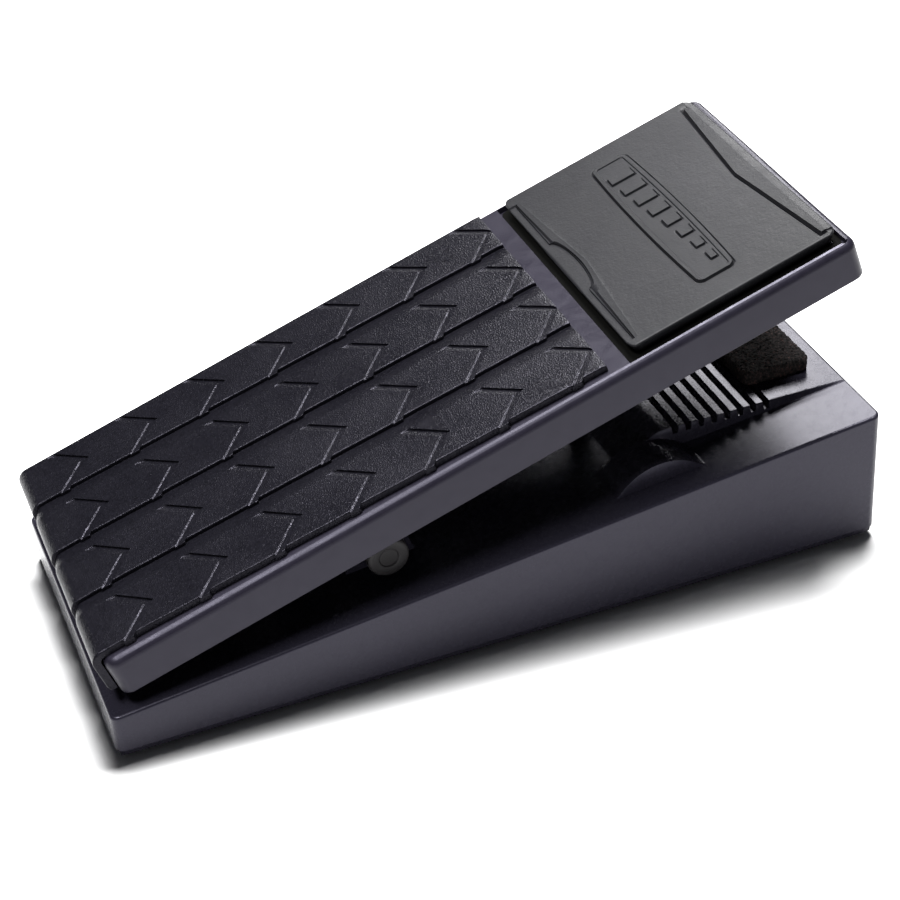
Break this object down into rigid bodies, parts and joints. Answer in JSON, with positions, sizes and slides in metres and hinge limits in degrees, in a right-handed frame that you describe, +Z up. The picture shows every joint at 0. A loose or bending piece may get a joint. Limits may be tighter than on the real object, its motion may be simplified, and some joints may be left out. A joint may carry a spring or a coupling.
{
  "type": "guitar expression pedal",
  "caption": "Wedge-shaped foot pedal whose ribbed rubber treadle rocks on a cross axle and turns a potentiometer through a toothed sector.",
  "frame": {"origin": "centre of the whole pedal's outline at floor level, under the rubber feet", "axes": "+X from the heel end to the toe end, +Y to the far side, +Z up"},
  "size_m": [0.2512, 0.1088, 0.1136],
  "materials": {
    "housing_plastic": "satin moulded plastic, dark blue-grey",
    "treadle_plastic": "satin moulded plastic, dark blue-grey",
    "tread_rubber": "fine leather grain",
    "pad_rubber": "matte mid-grey",
    "foam": "coarse open foam",
    "foot_rubber": "matte",
    "plate_steel": "fine-texture powder coat",
    "fastener_steel": "zinc plated",
    "bracket_steel": "satin black",
    "cap_plastic": "matte mid-grey",
    "bush_plastic": "natural acetal",
    "gear_plastic": "satin black",
    "component_plastic": "satin black",
    "wire_red": "soft PVC",
    "wire_white": "soft PVC",
    "wire_black": "soft PVC"
  },
  "bodies": {
    "base": {"base_housing": "housing_plastic", "bottom_plate": "plate_steel", "toe_foam_bumper": "foam", "heel_bumper_near": "foot_rubber", "pivot_bush_near": "bush_plastic", "foot_heel_near": "foot_rubber", "foot_toe_near": "foot_rubber", "bottom_screw_near_1": "fastener_steel", "bottom_screw_near_2": "fastener_steel", "bottom_screw_near_3": "fastener_steel", "heel_bumper_far": "foot_rubber", "pivot_bush_far": "bush_plastic", "foot_heel_far": "foot_rubber", "foot_toe_far": "foot_rubber", "bottom_screw_far_1": "fastener_steel", "bottom_screw_far_2": "fastener_steel", "bottom_screw_far_3": "fastener_steel", "pot_body": "component_plastic", "pot_bracket": "bracket_steel", "pot_nut": "fastener_steel", "pot_bracket_screw_1": "fastener_steel", "pot_bracket_screw_2": "fastener_steel", "jack_body": "component_plastic", "jack_washer": "fastener_steel", "jack_nut": "fastener_steel", "wire_red": "wire_red", "wire_white": "wire_white", "wire_black": "wire_black"},
    "treadle": {"treadle_shell": "treadle_plastic", "tread_mat": "tread_rubber", "toe_pad": "pad_rubber", "pivot_bracket": "bracket_steel", "gear_sector": "gear_plastic", "pivot_axle": "fastener_steel", "axle_cap_near": "cap_plastic", "axle_cap_far": "cap_plastic", "treadle_screw_1": "fastener_steel", "treadle_screw_2": "fastener_steel", "treadle_screw_3": "fastener_steel", "treadle_screw_4": "fastener_steel", "treadle_screw_5": "fastener_steel", "treadle_screw_6": "fastener_steel"},
    "pot_drive": {"pot_shaft": "fastener_steel", "pinion_gear": "gear_plastic"}
  },
  "joints": [
    {"name": "treadle_pivot", "type": "hinge", "parent": "base", "child": "treadle", "pos_m": [-0.03286, 0, 0.0355], "axis": [0, 1, 0], "range_deg": [0, 16]},
    {"name": "pot_turn", "type": "hinge", "parent": "base", "child": "pot_drive", "pos_m": [0.05756, 0, 0.03155], "axis": [0, 1, 0], "range_deg": [-178, 0]}
  ],
  "couplings": [
    {"joint": "pot_turn", "follows": "treadle_pivot", "ratio": -11.067}
  ]
}
